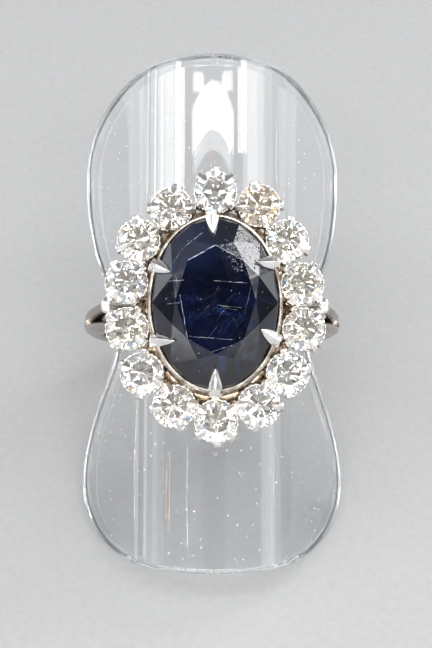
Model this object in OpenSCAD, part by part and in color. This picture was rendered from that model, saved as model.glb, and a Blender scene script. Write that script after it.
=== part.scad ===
// An oval cluster ring on its clear ring stand, in millimetres, resting as the pair rests by itself.
// Head frame: X across the finger, Y along the finger, Z out from the bore's axis through the head.
// Stand frame: Z along the bent sheet, -Y through the ring's head. The row frame has +Z up from the floor.

/* [Band] */
// Inside diameter of the ring
bore_d = 17.6; // [16:0.1:20]
// Thickness of the band
band_wall = 1.5; // [1.1:0.1:2]
// Width of the band at the back
band_w = 1.8; // [1.4:0.1:2.6]
// Width of each strand of a forked shoulder
strand_w = 0.95; // [0.7:0.05:1.2]
// Angle at which each strand turns away from the middle of the band
strand_spread = 4.1; // [2:0.1:6]
// Width of the riser that carries the head from each strand
riser_w = 0.9; // [0.6:0.05:1.2]

/* [Sapphire] */
// Length of the sapphire, along the finger
sapphire_l = 12.5; // [11:0.1:13.5]
// Width of the sapphire
sapphire_w = 9.2; // [8:0.1:10]
// Height of the sapphire's crown
sapphire_crown = 1.5; // [1.1:0.05:1.9]
// Depth of the sapphire's pavilion
sapphire_pavilion = 3.9; // [3:0.1:4.1]
// Height of the sapphire's girdle over the bore
girdle_rise = 4.6; // [4.4:0.1:5.4]

/* [Diamonds] */
// Diameter of each round diamond
diamond_d = 3.0; // [2.7:0.05:3.1]
// Height of a diamond's crown
diamond_crown = 0.48; // [0.35:0.01:0.6]
// Depth of a diamond's pavilion
diamond_pavilion = 1.25; // [1:0.05:1.35]
// How far the diamonds' girdles lie below the sapphire's
halo_drop = 1.4; // [1:0.05:1.7]
// Space between the sapphire's girdle and the diamonds' edges
halo_gap = 0.6; // [0.5:0.05:1]
// More of that space at the head's two ends
halo_end = 0.18; // [0:0.02:0.3]
// Least space between one diamond and the next
diamond_space = 0.3; // [0.25:0.02:0.5]

/* [Settings] */
// Wall of the collet round the sapphire, measured outside its girdle
collet_lip = 0.28; // [0.2:0.02:0.4]
// Width of the collet's seat under the girdle
collet_seat = 0.45; // [0.3:0.05:0.7]
// Rim of each cup outside its diamond
cup_rim = 0.12; // [0.08:0.01:0.2]
// Radius of a cup's foot
cup_foot_r = 0.75; // [0.6:0.05:0.9]
// How far a cup's foot lies inside its diamond
cup_lean = 1.4; // [1.1:0.05:1.6]
// Radius of a small claw
claw_r = 0.24; // [0.2:0.02:0.3]
// Radius of the bead that ends a small claw
claw_bead_r = 0.29; // [0.24:0.01:0.36]
// Width of a main claw at its base
main_claw_w = 1.05; // [0.8:0.05:1.3]
// Thickness of a main claw at its base
main_claw_t = 0.55; // [0.4:0.05:0.7]
// Thickness of the oval gallery plate
gallery_t = 0.7; // [0.5:0.05:0.9]
// Space between the bore and the gallery plate
gallery_gap = 0.7; // [0.5:0.05:0.9]
// Space between each stone and its metal
stone_gap = 0.03; // [0.02:0.01:0.06]

/* [Stand] */
// Length of the clear sheet
stand_h = 40; // [36:0.5:46]
// Thickness of the clear sheet
stand_t = 1.5; // [1:0.1:2]
// Space between the bent sheet and the ring's bore
stand_gap = 0.25; // [0.2:0.01:0.35]
// Angle of the bend on each side of the middle, before the sheet runs straight
stand_bend = 52; // [46:1:58]
// Distance from each end of the sheet to where its lobe is widest
lobe_rise = 7.6; // [6.5:0.1:9]
// Straight run of the sheet past its bend, where a lobe is widest
lobe_run = 5.9; // [5:0.1:7]
// Space between the sheet's waist edges and the bore
waist_gap = 0.14; // [0.12:0.01:0.2]
// How full each lobe's round end is, where 2 is an ellipse
lobe_fullness = 2.15; // [1.9:0.05:2.4]
// How the sheet widens from its waist to each lobe, where 1 is an even S and less is sooner
upper_flare = 0.45; // [0.4:0.05:1]
lower_flare = 0.85; // [0.6:0.05:1]
// Angle at which the ring's head droops on the stand
ring_droop = 2.6; // [0:0.2:3]

/* [Hidden] */
bore_r = bore_d / 2;
girdle_z = bore_r + girdle_rise;
halo_z = girdle_z - halo_drop;
gallery_z = bore_r + gallery_gap;
gallery_top = gallery_z + gallery_t;

// Shares of a cut stone's half width: its table, its stars' tips and its lower facets' tips
table_share = 0.63;
star_share = 0.76;
lower_share = 0.25;
// Girdle thicknesses
sapphire_girdle = 0.25;
diamond_girdle = 0.08;

// Directions of the six main claws round the sapphire, and how far in their tips reach
main_claw_at = [34, 93, 155, 215, 270, 335];
main_claw_foot_at = [27, 93, 155, 205, 270, 335];
main_claw_reach = 0.81;

// Height of a cup from its foot to its diamond, and how far down a small claw starts
cup_depth = halo_z - gallery_top;
claw_drop = diamond_pavilion * 0.75;
// Where a small claw's bead sits: its distance from the diamond's middle, and its height
claw_at = diamond_d / 2 + claw_bead_r * 0.1;
claw_top = halo_z + diamond_crown * 0.5;
// Direction of a small claw from the outward one
small_claw_turn = 51.5;
// Long beads over the shoulders: length, width and place outside the stones' row
shoulder_bead_l = 1.16;
shoulder_bead_w = 0.8;
shoulder_bead_out = diamond_d * 0.5;
// How far round the back each strand starts, inside the band
strand_root = 25;

diamond_count = 14;
// Where each hand-set diamond lies off its even place, as shares of its diameter
SHIFT = [
    // [along the row, outward]
    [0, 0], [0, 0.03], [0, -0.03], [0.02, -0.02], [0, 0.02], [0.03, 0], [-0.03, 0],
    [-0.05, 0.02], [-0.08, -0.04], [-0.08, 0], [-0.04, -0.02], [-0.02, 0], [-0.07, 0.05], [-0.07, -0.05]
];

// The stones' row: an ellipse outside the sapphire's girdle, wide enough for every stone
girdle_loop = ellipse_length(sapphire_w / 2, sapphire_l / 2);
row_out = max(diamond_d / 2 + halo_gap, (diamond_count * (diamond_d + diamond_space) - girdle_loop) / (2 * PI));
row_a = sapphire_w / 2 + row_out;
row_b = sapphire_l / 2 + row_out + halo_end;

// Distance along the row against angle, from the top of the ellipse clockwise
row_step = 3;
row_table = running([for (t = [0:row_step:360 - row_step])
    norm(on_row(t + row_step) - on_row(t))]);
row_length = row_table[len(row_table) - 1][0];

DIAMONDS = [for (i = [1:diamond_count]) str("diamond_", i < 10 ? "0" : "", i)];

// Lengths along the row, each with the angle that it reaches
function running(steps) = [for (i = 0, sum = 0; i <= len(steps);
    sum = sum + (i < len(steps) ? steps[i] : 0), i = i + 1) [sum, i * row_step]];
function ellipse_length(a, b) = PI * (3 * (a + b) - sqrt((3 * a + b) * (a + 3 * b)));
function on_row(t) = [row_a * sin(t), row_b * cos(t)];
function angle_at(s) = lookup(s - row_length * floor(s / row_length), row_table);
function outward(t) = let (n = [sin(t) / row_a, cos(t) / row_b]) n / norm(n);
function shift_along(i) = SHIFT[i % diamond_count][0] * diamond_d;
function shift_out(i) = SHIFT[i % diamond_count][1] * diamond_d;
function stone_angle(i) = angle_at(i * row_length / diamond_count + shift_along(i));
function stone_at(i, out = 0) = on_row(stone_angle(i)) + (out + shift_out(i)) * outward(stone_angle(i));
// The middle of the space between stones i and i + 1
function between(i, out) = let (j = (i + 1) % diamond_count, m = (stone_at(i) + stone_at(j)) / 2,
    d = stone_at(j) - stone_at(i), n = [-d.y, d.x] / norm(d)) m + out * n;
function girdle_at(t, out = 0) = let (a = sapphire_w / 2, b = sapphire_l / 2, n = [cos(t) / a, sin(t) / b])
    [a * cos(t), b * sin(t)] + out * n / norm(n);
function oval(a, b, n = 48) = [for (k = [0:n - 1]) [a * cos(360 * k / n), b * sin(360 * k / n)]];

// Ring of points at a share of the girdle, eight or sixteen of them
function stone_ring(size, share, n, start, z) =
    [for (k = [0:n - 1]) let (t = start + 360 * k / n) [size.x * share * cos(t), size.y * share * sin(t), z]];

// An oval or round brilliant: size is its half width and half length, with its girdle's top at z = 0
module brilliant(size, crown, pavilion, girdle) {
    half_turn = 22.5;
    star_z = crown * (1 - star_share * cos(half_turn)) / (1 - table_share);
    lower_z = -girdle - pavilion * (1 - lower_share * cos(half_turn));
    points = concat(
        stone_ring(size, table_share, 8, 0, crown),
        stone_ring(size, star_share, 8, half_turn, star_z),
        stone_ring(size, 1, 16, 0, 0),
        stone_ring(size, 1, 16, 0, -girdle),
        stone_ring(size, lower_share, 8, half_turn, lower_z),
        [[0, 0, -girdle - pavilion]]);
    star = 8;
    top = 16;
    low = 32;
    tip = 48;
    culet = 56;
    faces = concat(
        [[for (k = [7:-1:0]) k]],
        [for (k = [0:7]) [k, (k + 1) % 8, star + k]],
        [for (k = [0:7]) [k, star + k, star + (k + 7) % 8]],
        [for (k = [0:7]) [star + k, top + 2 * k, star + (k + 7) % 8]],
        [for (k = [0:7]) [star + k, top + 2 * k + 1, top + 2 * k]],
        [for (k = [0:7]) [star + k, top + (2 * k + 2) % 16, top + 2 * k + 1]],
        [for (k = [0:15]) [top + k, top + (k + 1) % 16, low + (k + 1) % 16, low + k]],
        [for (k = [0:7]) [low + 2 * k, low + 2 * k + 1, tip + k]],
        [for (k = [0:7]) [low + 2 * k + 1, low + (2 * k + 2) % 16, tip + k]],
        [for (k = [0:7]) [low + 2 * k, tip + k, culet, tip + (k + 7) % 8]]);
    polyhedron(points, faces);
}

module sapphire_body(gap = 0) {
    translate([0, 0, girdle_z])
        brilliant([sapphire_w / 2 + gap, sapphire_l / 2 + gap], sapphire_crown + gap,
            sapphire_pavilion + gap, sapphire_girdle + gap);
}

module diamond_body(i, gap = 0) {
    p = stone_at(i);
    translate([p.x, p.y, halo_z + gap])
        rotate([0, 0, -stone_angle(i)])
            brilliant([diamond_d / 2 + gap, diamond_d / 2 + gap], diamond_crown + gap,
                diamond_pavilion + gap, diamond_girdle + 2 * gap);
}

// Half-round section of the band or a strand: flat inside, crowned outside
function band_section(w, wall = band_wall) = concat([[bore_r - 0.1, -w / 2]],
    [for (a = [-90:45:90]) [bore_r + wall * (0.45 + 0.55 * cos(a)), w / 2 * sin(a)]],
    [[bore_r - 0.1, w / 2]]);

// Part of a hoop with its axis along Y, from one angle to another, counted from +X towards +Z
module hoop(section, from, to) {
    rotate([90, 0, 0])
        rotate([0, 0, from])
            rotate_extrude(angle = to - from, $fn = 72) polygon(section);
}

// The band round the back, and two strands that grow out of it and part towards the head
module shank() {
    hoop(band_section(band_w), 177.5, 362.5);
    for (side = [-1, 1])
        translate([0, side * ((band_w - strand_w) / 2 - 0.03), 0])
            rotate([-side * strand_spread, 0, 0])
                hoop(band_section(strand_w, band_wall * 0.96), -strand_root, 180 + strand_root);
}

// Four bars that rise from the strands to the gallery plate
module risers() {
    foot_at = 42;
    foot_y = (band_w - strand_w) / 2 + bore_r * sin(foot_at) * sin(strand_spread);
    for (x = [-1, 1], y = [-1, 1])
        hull() {
            translate([x * (bore_r + band_wall * 0.6) * cos(foot_at), y * foot_y, (bore_r + band_wall * 0.6) * sin(foot_at)])
                sphere(d = riser_w, $fn = 12);
            translate([x * (row_a - cup_lean), y * (foot_y + 0.3), gallery_z + gallery_t / 2])
                sphere(d = riser_w * 0.75, $fn = 12);
        }
}

// Flat oval plate that the collet and the cups stand on
module gallery() {
    translate([0, 0, gallery_z])
        linear_extrude(gallery_t)
            difference() {
                polygon(oval(row_a - cup_lean + cup_foot_r * 0.7, row_b - cup_lean + cup_foot_r * 0.7));
                polygon(oval(sapphire_w / 2 - collet_seat, sapphire_l / 2 - collet_seat));
            }
}

// Oval wall that the sapphire's girdle rests on
module collet() {
    translate([0, 0, gallery_z])
        linear_extrude(girdle_z - gallery_z)
            difference() {
                polygon(oval(sapphire_w / 2 + collet_lip, sapphire_l / 2 + collet_lip));
                polygon(oval(sapphire_w / 2 - collet_seat, sapphire_l / 2 - collet_seat));
            }
}

// Tapered cup under one diamond, leaning in to the gallery plate
module cup(i) {
    top = stone_at(i);
    foot = stone_at(i, -cup_lean);
    hull() {
        translate([top.x, top.y, halo_z - diamond_girdle - 0.35]) cylinder(r = diamond_d / 2 + cup_rim, h = 0.35, $fn = 20);
        translate([foot.x, foot.y, gallery_z + gallery_t * 0.4]) cylinder(r = cup_foot_r, h = 0.2, $fn = 12);
    }
}

// A claw on the side of cup i: turn is its direction, counted from outward
module small_claw(i, turn) {
    p = stone_at(i);
    foot = stone_at(i, -cup_lean * claw_drop / cup_depth);
    aim = 90 - stone_angle(i) + turn;
    hull() {
        translate([p.x + claw_at * cos(aim), p.y + claw_at * sin(aim), claw_top])
            rotate([0, 0, aim]) sphere(r = claw_bead_r, $fn = 6);
        translate([foot.x + (claw_at - 0.3) * cos(aim), foot.y + (claw_at - 0.3) * sin(aim), halo_z - claw_drop])
            rotate([0, 0, aim]) cylinder(r = claw_r, h = 0.1, $fn = 6);
    }
}

// Long oval bead at one end of the head's width, on a post over the shoulder
module shoulder_bead(i) {
    p = between(i, shoulder_bead_out);
    foot = between(i, -cup_lean / 2);
    hull() {
        translate([p.x, p.y, claw_top - 0.05])
            scale([shoulder_bead_w / 2, shoulder_bead_l / 2, shoulder_bead_w / 2]) sphere(r = 1, $fn = 16);
        translate([p.x, p.y, halo_z - claw_drop]) cylinder(r = claw_r, h = 0.1, $fn = 7);
    }
    hull() {
        translate([p.x, p.y, halo_z - claw_drop]) cylinder(r = claw_r, h = 0.1, $fn = 7);
        translate([foot.x, foot.y, gallery_z + gallery_t / 2]) cylinder(r = claw_r, h = 0.1, $fn = 7);
    }
}

module small_claws() {
    for (i = [0:diamond_count - 1], turn = [-small_claw_turn, small_claw_turn])
        for (t = [turn, 180 - turn]) small_claw(i, t);
    // The top and the bottom stone each have one more claw, at the outer middle
    for (i = [0, diamond_count / 2]) small_claw(i, 0);
    for (i = [3, 10]) shoulder_bead(i);
}

// Height of the sapphire's crown over its girdle, at a share of the girdle
function crown_at(share) = sapphire_crown * min(1, (1 - share) / (1 - star_share) * 0.8);

// A talon: a broad base outside the girdle, a post down the collet and a point over the crown, set a little askew
module main_claw(t, foot_t) {
    base = girdle_at(foot_t, collet_lip);
    lean_to = atan2(girdle_at(foot_t, 1).y - girdle_at(foot_t).y, girdle_at(foot_t, 1).x - girdle_at(foot_t).x);
    tip = [sapphire_w / 2 * main_claw_reach * cos(t), sapphire_l / 2 * main_claw_reach * sin(t)];
    hull() {
        translate([base.x, base.y, girdle_z - 0.15])
            rotate([0, 0, lean_to])
                translate([-main_claw_t / 2, -main_claw_w / 2, 0]) cube([main_claw_t, main_claw_w, 0.5]);
        translate([base.x, base.y, girdle_z + 0.35])
            rotate([0, 0, lean_to])
                translate([-main_claw_t / 2, -main_claw_w * 0.3, 0]) cube([main_claw_t * 0.8, main_claw_w * 0.6, 0.35]);
        translate([tip.x, tip.y, girdle_z + crown_at(main_claw_reach) + 0.12])
            rotate([0, 0, lean_to + 9]) sphere(r = 0.12, $fn = 7);
    }
    hull() {
        translate([base.x, base.y, girdle_z - 0.2])
            rotate([0, 0, lean_to])
                translate([-main_claw_t / 2, -main_claw_w / 2, 0]) cube([main_claw_t, main_claw_w, 0.2]);
        translate([base.x, base.y, gallery_top - 0.1])
            rotate([0, 0, lean_to])
                translate([-main_claw_t / 2, -main_claw_w / 4, 0]) cube([main_claw_t * 0.8, main_claw_w / 2, 0.1]);
    }
}

// All the soldered metal, in the head frame
module metal() {
    difference() {
        union() {
            shank();
            risers();
            gallery();
            collet();
            for (i = [0:diamond_count - 1]) cup(i);
            small_claws();
            for (i = [0:len(main_claw_at) - 1]) main_claw(main_claw_at[i], main_claw_foot_at[i]);
        }
        sapphire_body(stone_gap);
        for (i = [0:diamond_count - 1]) diamond_body(i, stone_gap);
        rotate([90, 0, 0]) cylinder(r = bore_r, h = sapphire_l * 2, center = true, $fn = 72);
    }
}

// The sheet's bend: its outer face is an arc just inside the bore, then runs straight
bend_r = bore_r - stand_gap;
bend_length = bend_r * stand_bend * PI / 180;
// Straight run at the waist, which ends just inside the bore
waist_run = sqrt(pow(bore_r - waist_gap, 2) - pow(bend_r, 2));
// Half the height along which the waist stays narrow, inside the ring
waist_half = band_w / 2 + bore_r * sin(strand_spread);

// A point of the sheet: s along the bend, z up the sheet, off in from the outer face
function sheet_point(s, z, off) = let (t = min(abs(s) / bend_r, stand_bend * PI / 180) * 180 / PI,
    e = max(abs(s) - bend_length, 0), side = s < 0 ? -1 : 1)
    [side * ((bend_r - off) * sin(t) + e * cos(t)), -(bend_r - off) * cos(t) + e * sin(t), z];

// Half length of the sheet round its bend, row by row up the sheet: [half length, height]
lobe_rows = [6, 12, 20, 30, 42, 54, 66, 78];
flare_rows = 7;
function lobe_row(a) = [(bend_length + lobe_run) * pow(sin(a), 2 / lobe_fullness),
    lobe_rise * (1 - pow(cos(a), 2 / lobe_fullness))];
function flare(u, sharp) = bend_length + waist_run + (lobe_run - waist_run) * (1 - cos(180 * pow(u, sharp))) / 2;
flare_h = stand_h / 2 - waist_half - lobe_rise;
function half_rim(sharp) = concat([for (a = lobe_rows) lobe_row(a)],
    [for (k = [0:flare_rows]) [flare(1 - k / flare_rows, sharp), lobe_rise + flare_h * k / flare_rows]]);
lower_rim = half_rim(lower_flare);
upper_rim = half_rim(upper_flare);
rim = concat(lower_rim, [for (k = [len(upper_rim) - 1:-1:0]) [upper_rim[k][0], stand_h - upper_rim[k][1]]]);
sheet_columns = 16;

// The clear sheet in the stand frame
module sheet() {
    n = sheet_columns + 1;
    rows = len(rim);
    points = [for (off = [0, stand_t], row = rim, k = [0:sheet_columns])
        sheet_point(row[0] * (2 * k / sheet_columns - 1), row[1], off)];
    inner = rows * n;
    last = (rows - 1) * n;
    faces = concat(
        [for (j = [0:rows - 2], k = [0:sheet_columns - 1], h = [0, 1]) let (p = j * n + k)
            h == 0 ? [p, p + n + 1, p + 1] : [p, p + n, p + n + 1]],
        [for (j = [0:rows - 2], k = [0:sheet_columns - 1], h = [0, 1]) let (p = inner + j * n + k)
            h == 0 ? [p, p + 1, p + n + 1] : [p, p + n + 1, p + n]],
        [for (j = [0:rows - 2], side = [0, sheet_columns], h = [0, 1]) let (p = j * n + side, q = p + inner,
            f = h == 0 ? [p, q, q + n] : [p, q + n, p + n]) side == 0 ? f : [f[2], f[1], f[0]]],
        [for (k = [0:sheet_columns - 1], end = [0, last], h = [0, 1]) let (p = end + k, q = p + inner,
            f = h == 0 ? [p, p + 1, q + 1] : [p, q + 1, q]) end == 0 ? f : [f[2], f[1], f[0]]]);
    polyhedron(points, faces);
}

// The pair's rest: it leans back until the sheet's lower edges and the back of the band both touch the floor
ring_z = stand_h / 2;
band_back = [for (p = band_section(band_w)) [
    p.x * cos(ring_droop) - p.y * sin(ring_droop),
    ring_z + p.y * cos(ring_droop) + p.x * sin(ring_droop)]];
function edge_points(rows) = [for (row = rows, off = [0, stand_t]) let (p = sheet_point(row[0], row[1], off)) [p.y, p.z]];
lower_edge = edge_points(lower_rim);
sheet_edge = edge_points(rim);
function up(p, lean) = p.y * cos(lean) - p.x * sin(lean);
function back(p, lean) = p.x * cos(lean) + p.y * sin(lean);
function lowest(points, lean) = min([for (p = points) up(p, lean)]);
function rest_lean(lo, hi, n) = n == 0 ? (lo + hi) / 2 : let (mid = (lo + hi) / 2)
    lowest(band_back, mid) > lowest(lower_edge, mid) ? rest_lean(mid, hi, n - 1) : rest_lean(lo, mid, n - 1);
lean = rest_lean(25, 80, 30);
floor_z = -lowest(lower_edge, lean);
nose = concat(sheet_edge, [[-bend_r, lobe_row(lobe_rows[0])[1]]]);
front_y = min([for (p = nose) back(p, lean)]);
back_y = max([for (p = nose) back(p, lean)]);

module stand_frame() {
    translate([0, -(front_y + back_y) / 2, floor_z]) rotate([-lean, 0, 0]) children();
}

module head_frame() {
    stand_frame() translate([0, 0, ring_z]) rotate([90 + ring_droop, 0, 0]) children();
}

module ring_mount() {
    color([0.8, 0.79, 0.76]) head_frame() metal();
}

module sapphire() {
    color([0.03, 0.05, 0.16]) head_frame() sapphire_body();
}

module diamond(i) {
    color([0.93, 0.94, 0.96]) head_frame() diamond_body(i);
}

module stand() {
    color([0.78, 0.83, 0.85, 0.5]) stand_frame() sheet();
}

ring_mount();
sapphire();
for (i = [0:diamond_count - 1])
    diamond(i);
stand();
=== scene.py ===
"""Looks for an oval cluster ring on its clear, bent ring stand.

Sizes are in millimetres and angles in degrees, in the ring's own head frame (X across the finger, Y along it,
Z out through the stones) or in the stand's own frame (Z along the sheet, -Y out through the head). They go to
metres in the row's frame when a piece is made."""
import math
import random

import bmesh
import bpy
import numpy as np
from mathutils import Matrix, Vector


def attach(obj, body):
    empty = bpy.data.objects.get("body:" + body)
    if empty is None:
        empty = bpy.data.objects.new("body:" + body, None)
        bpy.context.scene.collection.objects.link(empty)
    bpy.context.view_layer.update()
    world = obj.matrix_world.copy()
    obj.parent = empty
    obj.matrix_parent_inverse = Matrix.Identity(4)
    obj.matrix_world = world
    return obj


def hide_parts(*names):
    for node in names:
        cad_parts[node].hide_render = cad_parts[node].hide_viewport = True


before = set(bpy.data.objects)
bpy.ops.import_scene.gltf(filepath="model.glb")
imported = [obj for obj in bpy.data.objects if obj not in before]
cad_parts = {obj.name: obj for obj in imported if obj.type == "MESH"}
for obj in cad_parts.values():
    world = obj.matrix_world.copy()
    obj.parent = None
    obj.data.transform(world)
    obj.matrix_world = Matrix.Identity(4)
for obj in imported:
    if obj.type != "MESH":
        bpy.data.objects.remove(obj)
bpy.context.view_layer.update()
MM = 0.001

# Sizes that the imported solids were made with
BORE_R = 8.8
WALL = 1.5
BAND_W = 1.8
STRAND_W, STRAND_SPREAD = 0.95, 4.1
RISER_AT, RISER_LEAN = 42, 0.3
RISER_FOOT_R, RISER_TOP_R = 0.45, 0.34
SAPPHIRE_A, SAPPHIRE_B = 4.6, 6.25
SAPPHIRE_CROWN, SAPPHIRE_PAVILION, SAPPHIRE_GIRDLE = 1.5, 3.9, 0.25
DIAMOND_R = 1.5
DIAMOND_CROWN, DIAMOND_PAVILION, DIAMOND_GIRDLE = 0.48, 1.25, 0.08
TABLE, LOWER = 0.63, 0.25  # shares of a stone's radius, as the stars are
DIAMOND_STAR, SAPPHIRE_STAR = 0.76, 0.735
GIRDLE_Z = 13.4
HALO_Z = 12.0
ROW_A, ROW_B = 6.7, 8.53
END_STONES = (0, 7)
SHOULDER_STONES = (("right", 3), ("left", 10))  # the stone before each shoulder
GALLERY_Z, GALLERY_T = 9.5, 0.7
CUP_LEAN, CUP_FOOT_R = 1.4, 0.75
CLAW_OFF, CLAW_TURN = 0.1, 51.5
CLAW_W, CLAW_REACH, CLAW_H = 0.42, 0.68, 0.50
CLAW_T, CLAW_FOOT_W, CLAW_BLUNT = 0.26, 0.16, 1.0
MAIN_CLAW_OFF, MAIN_CLAW_TIP, MAIN_CLAW_PAST = 0.28, 0.81, 0.12
MAIN_CLAW_W, MAIN_CLAW_H = 0.54, 0.76
MAIN_CLAW_T, MAIN_CLAW_FOOT_W, MAIN_CLAW_BLUNT = 0.34, 0.28, 0.25
MAIN_CLAWS = [
    # directions of the tip and of the foot
    (34, 27), (93, 93), (155, 155), (215, 205), (270, 270), (335, 335),
]
BEAD_OUT, BEAD_L, BEAD_W, BEAD_UP = 1.5, 1.16, 0.8, 0.19
STEM_R, STEM_TOP_R, STEM_H = 0.23, 0.26, 0.9
RING_DROOP = 2.6
RING_Z = 20.0
STAND_H, STAND_T = 40.0, 1.5
BEND_R, STAND_BEND = 8.55, 52.0
BEND_HALF = BEND_R * math.radians(STAND_BEND)
SHEET_CLEARANCE = 0.14
LOBE_RISE, LOBE_RUN, LOBE_FULL = 7.6, 5.9, 2.15
UPPER_FLARE, LOWER_FLARE = 0.45, 0.85
WAIST_HALF = BAND_W / 2 + BORE_R * math.sin(math.radians(STRAND_SPREAD))
WAIST_RUN = math.sqrt((BORE_R - SHEET_CLEARANCE) ** 2 - BEND_R ** 2)


# Frames

def mesh_points(obj):
    """A mesh's vertices as rows of an array, in metres."""
    co = np.empty(len(obj.data.vertices) * 3)
    obj.data.vertices.foreach_get("co", co)
    return co.reshape(-1, 3)


def head_matrix():
    """The head frame, found from the sapphire's table: its largest flat face."""
    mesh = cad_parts["sapphire"].data
    flats = {}
    for face in mesh.polygons:
        key = tuple(round(c, 2) for c in face.normal)
        area, corners = flats.get(key, (0.0, set()))
        own = {tuple(round(c, 6) for c in mesh.vertices[i].co) for i in face.vertices}
        flats[key] = (area + face.area, corners | own)
    key, (_, corners) = max(flats.items(), key=lambda item: item[1][0])
    z = Vector(key).normalized()
    x = Vector((1, 0, 0))
    y = z.cross(x).normalized()
    z = x.cross(y).normalized()
    centre = sum((Vector(c) for c in corners), Vector()) / len(corners)
    origin = centre - z * (GIRDLE_Z + SAPPHIRE_CROWN) * MM
    origin.x = 0
    axes = Matrix((x, y, z)).transposed().to_4x4() @ Matrix.Scale(MM, 4)
    return Matrix.Translation(origin) @ axes


HEAD = head_matrix()
STAND = HEAD @ Matrix.Rotation(math.radians(-90 - RING_DROOP), 4, "X") @ Matrix.Translation((0, 0, -RING_Z))
HEAD_INV = HEAD.inverted()
STAND_INV = STAND.inverted()


def in_head(obj):
    """A CAD node's vertices in the head frame, in millimetres."""
    m = np.array(HEAD_INV)
    return mesh_points(obj) @ m[:3, :3].T + m[:3, 3]


def stone_places():
    """Name, middle, turn and outward direction of each diamond, clockwise, read from its solid."""
    places = []
    for name in sorted(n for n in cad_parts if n.startswith("diamond_")):
        p = in_head(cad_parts[name])
        table = p[p[:, 2] > p[:, 2].max() - 0.02][:, :2]
        mid = table.mean(0)
        corner = table[0] - mid
        turn = math.degrees(math.atan2(corner[1], corner[0]))
        outward = math.degrees(math.atan2(mid[1] / ROW_B ** 2, mid[0] / ROW_A ** 2))
        places.append((name, Vector(mid), turn, outward))
    return places


STONES = stone_places()


def stand_direction(turn, rise):
    """A direction in the row's frame: turn goes round the sheet's axis, from straight out through the head
    towards the right, and rise is how far it lies above that, along the sheet."""
    t, r = math.radians(turn), math.radians(rise)
    out = Vector((math.sin(t) * math.cos(r), -math.cos(t) * math.cos(r), math.sin(r)))
    return (STAND.to_3x3() @ out).normalized()


# Materials

def plug(tree, socket, value):
    """Links a socket to another one, or sets its value."""
    if isinstance(value, bpy.types.NodeSocket):
        tree.links.new(value, socket)
    else:
        socket.default_value = value


def add_node(tree, kind, inputs=(), **props):
    """A node with its properties and its inputs set."""
    index = len(tree.nodes)
    n = tree.nodes.new(kind)
    n.location = (-200 * (1 + index % 8), -200 * (index // 8))
    for key, value in props.items():
        setattr(n, key, value)
    for key, value in dict(inputs).items():
        plug(tree, n.inputs[key], value)
    return n


def color_input(value):
    """A colour for a socket, or the socket that gives it."""
    return value if isinstance(value, bpy.types.NodeSocket) else (*value, 1)


class Material:
    """A Principled material whose patterns come from nodes. Its lengths are in millimetres."""

    def __init__(self, name):
        self.mat = bpy.data.materials.new(name)
        self.mat.use_nodes = True
        self.tree = self.mat.node_tree
        self.bsdf = next(n for n in self.tree.nodes if n.type == "BSDF_PRINCIPLED")
        self.place = self.vector("SCALE", self.node("ShaderNodeTexCoord").outputs["Object"], scale=1 / MM)

    def node(self, kind, inputs=(), **props):
        return add_node(self.tree, kind, inputs, **props)

    def set(self, **values):
        """Sets sockets of the shader, with _ for a space in a socket's name."""
        for key, value in values.items():
            plug(self.tree, self.bsdf.inputs[key.replace("_", " ")], value)

    def math(self, op, a, b=0.0, clamp=False):
        return self.node("ShaderNodeMath", {0: a, 1: b}, operation=op, use_clamp=clamp).outputs[0]

    def most(self, values):
        """The largest of several values."""
        top = values[0]
        for value in values[1:]:
            top = self.math("MAXIMUM", top, value)
        return top

    def vector(self, op, a, b=(0, 0, 0), scale=1.0):
        n = self.node("ShaderNodeVectorMath", {0: a, 1: b, 3: scale}, operation=op)
        return n.outputs["Value" if op in ("DOT_PRODUCT", "LENGTH") else "Vector"]

    def combine(self, x, y, z=0.0):
        return self.node("ShaderNodeCombineXYZ", {0: x, 1: y, 2: z}).outputs[0]

    def within(self, inverse):
        """The place in the head's or the stand's frame: as a vector, and as its three parts."""
        parts = []
        for row in inverse[:3]:
            along = self.vector("DOT_PRODUCT", self.place, tuple(c * MM for c in row[:3]))
            parts.append(self.math("ADD", along, row[3]))
        return self.combine(*parts), parts

    def away_from(self, point, centre, shares):
        """How far a point lies from a centre, with each axis counted by its share."""
        return self.vector("LENGTH", self.vector("MULTIPLY", self.vector("SUBTRACT", point, centre), shares))

    def noise(self, scale, detail=2.0, rough=0.5, at=None):
        inputs = {"Vector": at or self.place, "Scale": scale, "Detail": detail, "Roughness": rough}
        return self.node("ShaderNodeTexNoise", inputs).outputs["Fac"]

    def specks(self, scale, at=None):
        """The distance to the nearest of some scattered points, in shares of their spacing."""
        inputs = {"Vector": at or self.place, "Scale": scale, "Randomness": 1.0}
        return self.node("ShaderNodeTexVoronoi", inputs).outputs["Distance"]

    def between(self, value, lo, hi, to_lo=0.0, to_hi=1.0):
        """Maps a value from one range onto another, and holds it there."""
        return self.node("ShaderNodeMapRange", {0: value, 1: lo, 2: hi, 3: to_lo, 4: to_hi}).outputs[0]

    def ramp(self, value, stops):
        n = self.node("ShaderNodeValToRGB", {0: value})
        elements = n.color_ramp.elements
        while len(elements) < len(stops):
            elements.new(0.5)
        for element, (at, color) in zip(elements, stops):
            element.position = at
            element.color = (*color, 1)
        return n.outputs[0]

    def mix(self, factor, a, b):
        inputs = {0: factor, 6: color_input(a), 7: color_input(b)}
        return self.node("ShaderNodeMix", inputs, data_type="RGBA").outputs[2]

    def bump(self, height, strength, distance):
        inputs = {"Strength": strength, "Distance": distance, "Height": height}
        return self.node("ShaderNodeBump", inputs).outputs[0]


# Between these heights the metal's colour turns into painted shade with some tarnish
BRIGHT_Z, BROWN_Z = 12.1, 10.2  # heights in the head between which its metal turns from bright to brown


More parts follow.
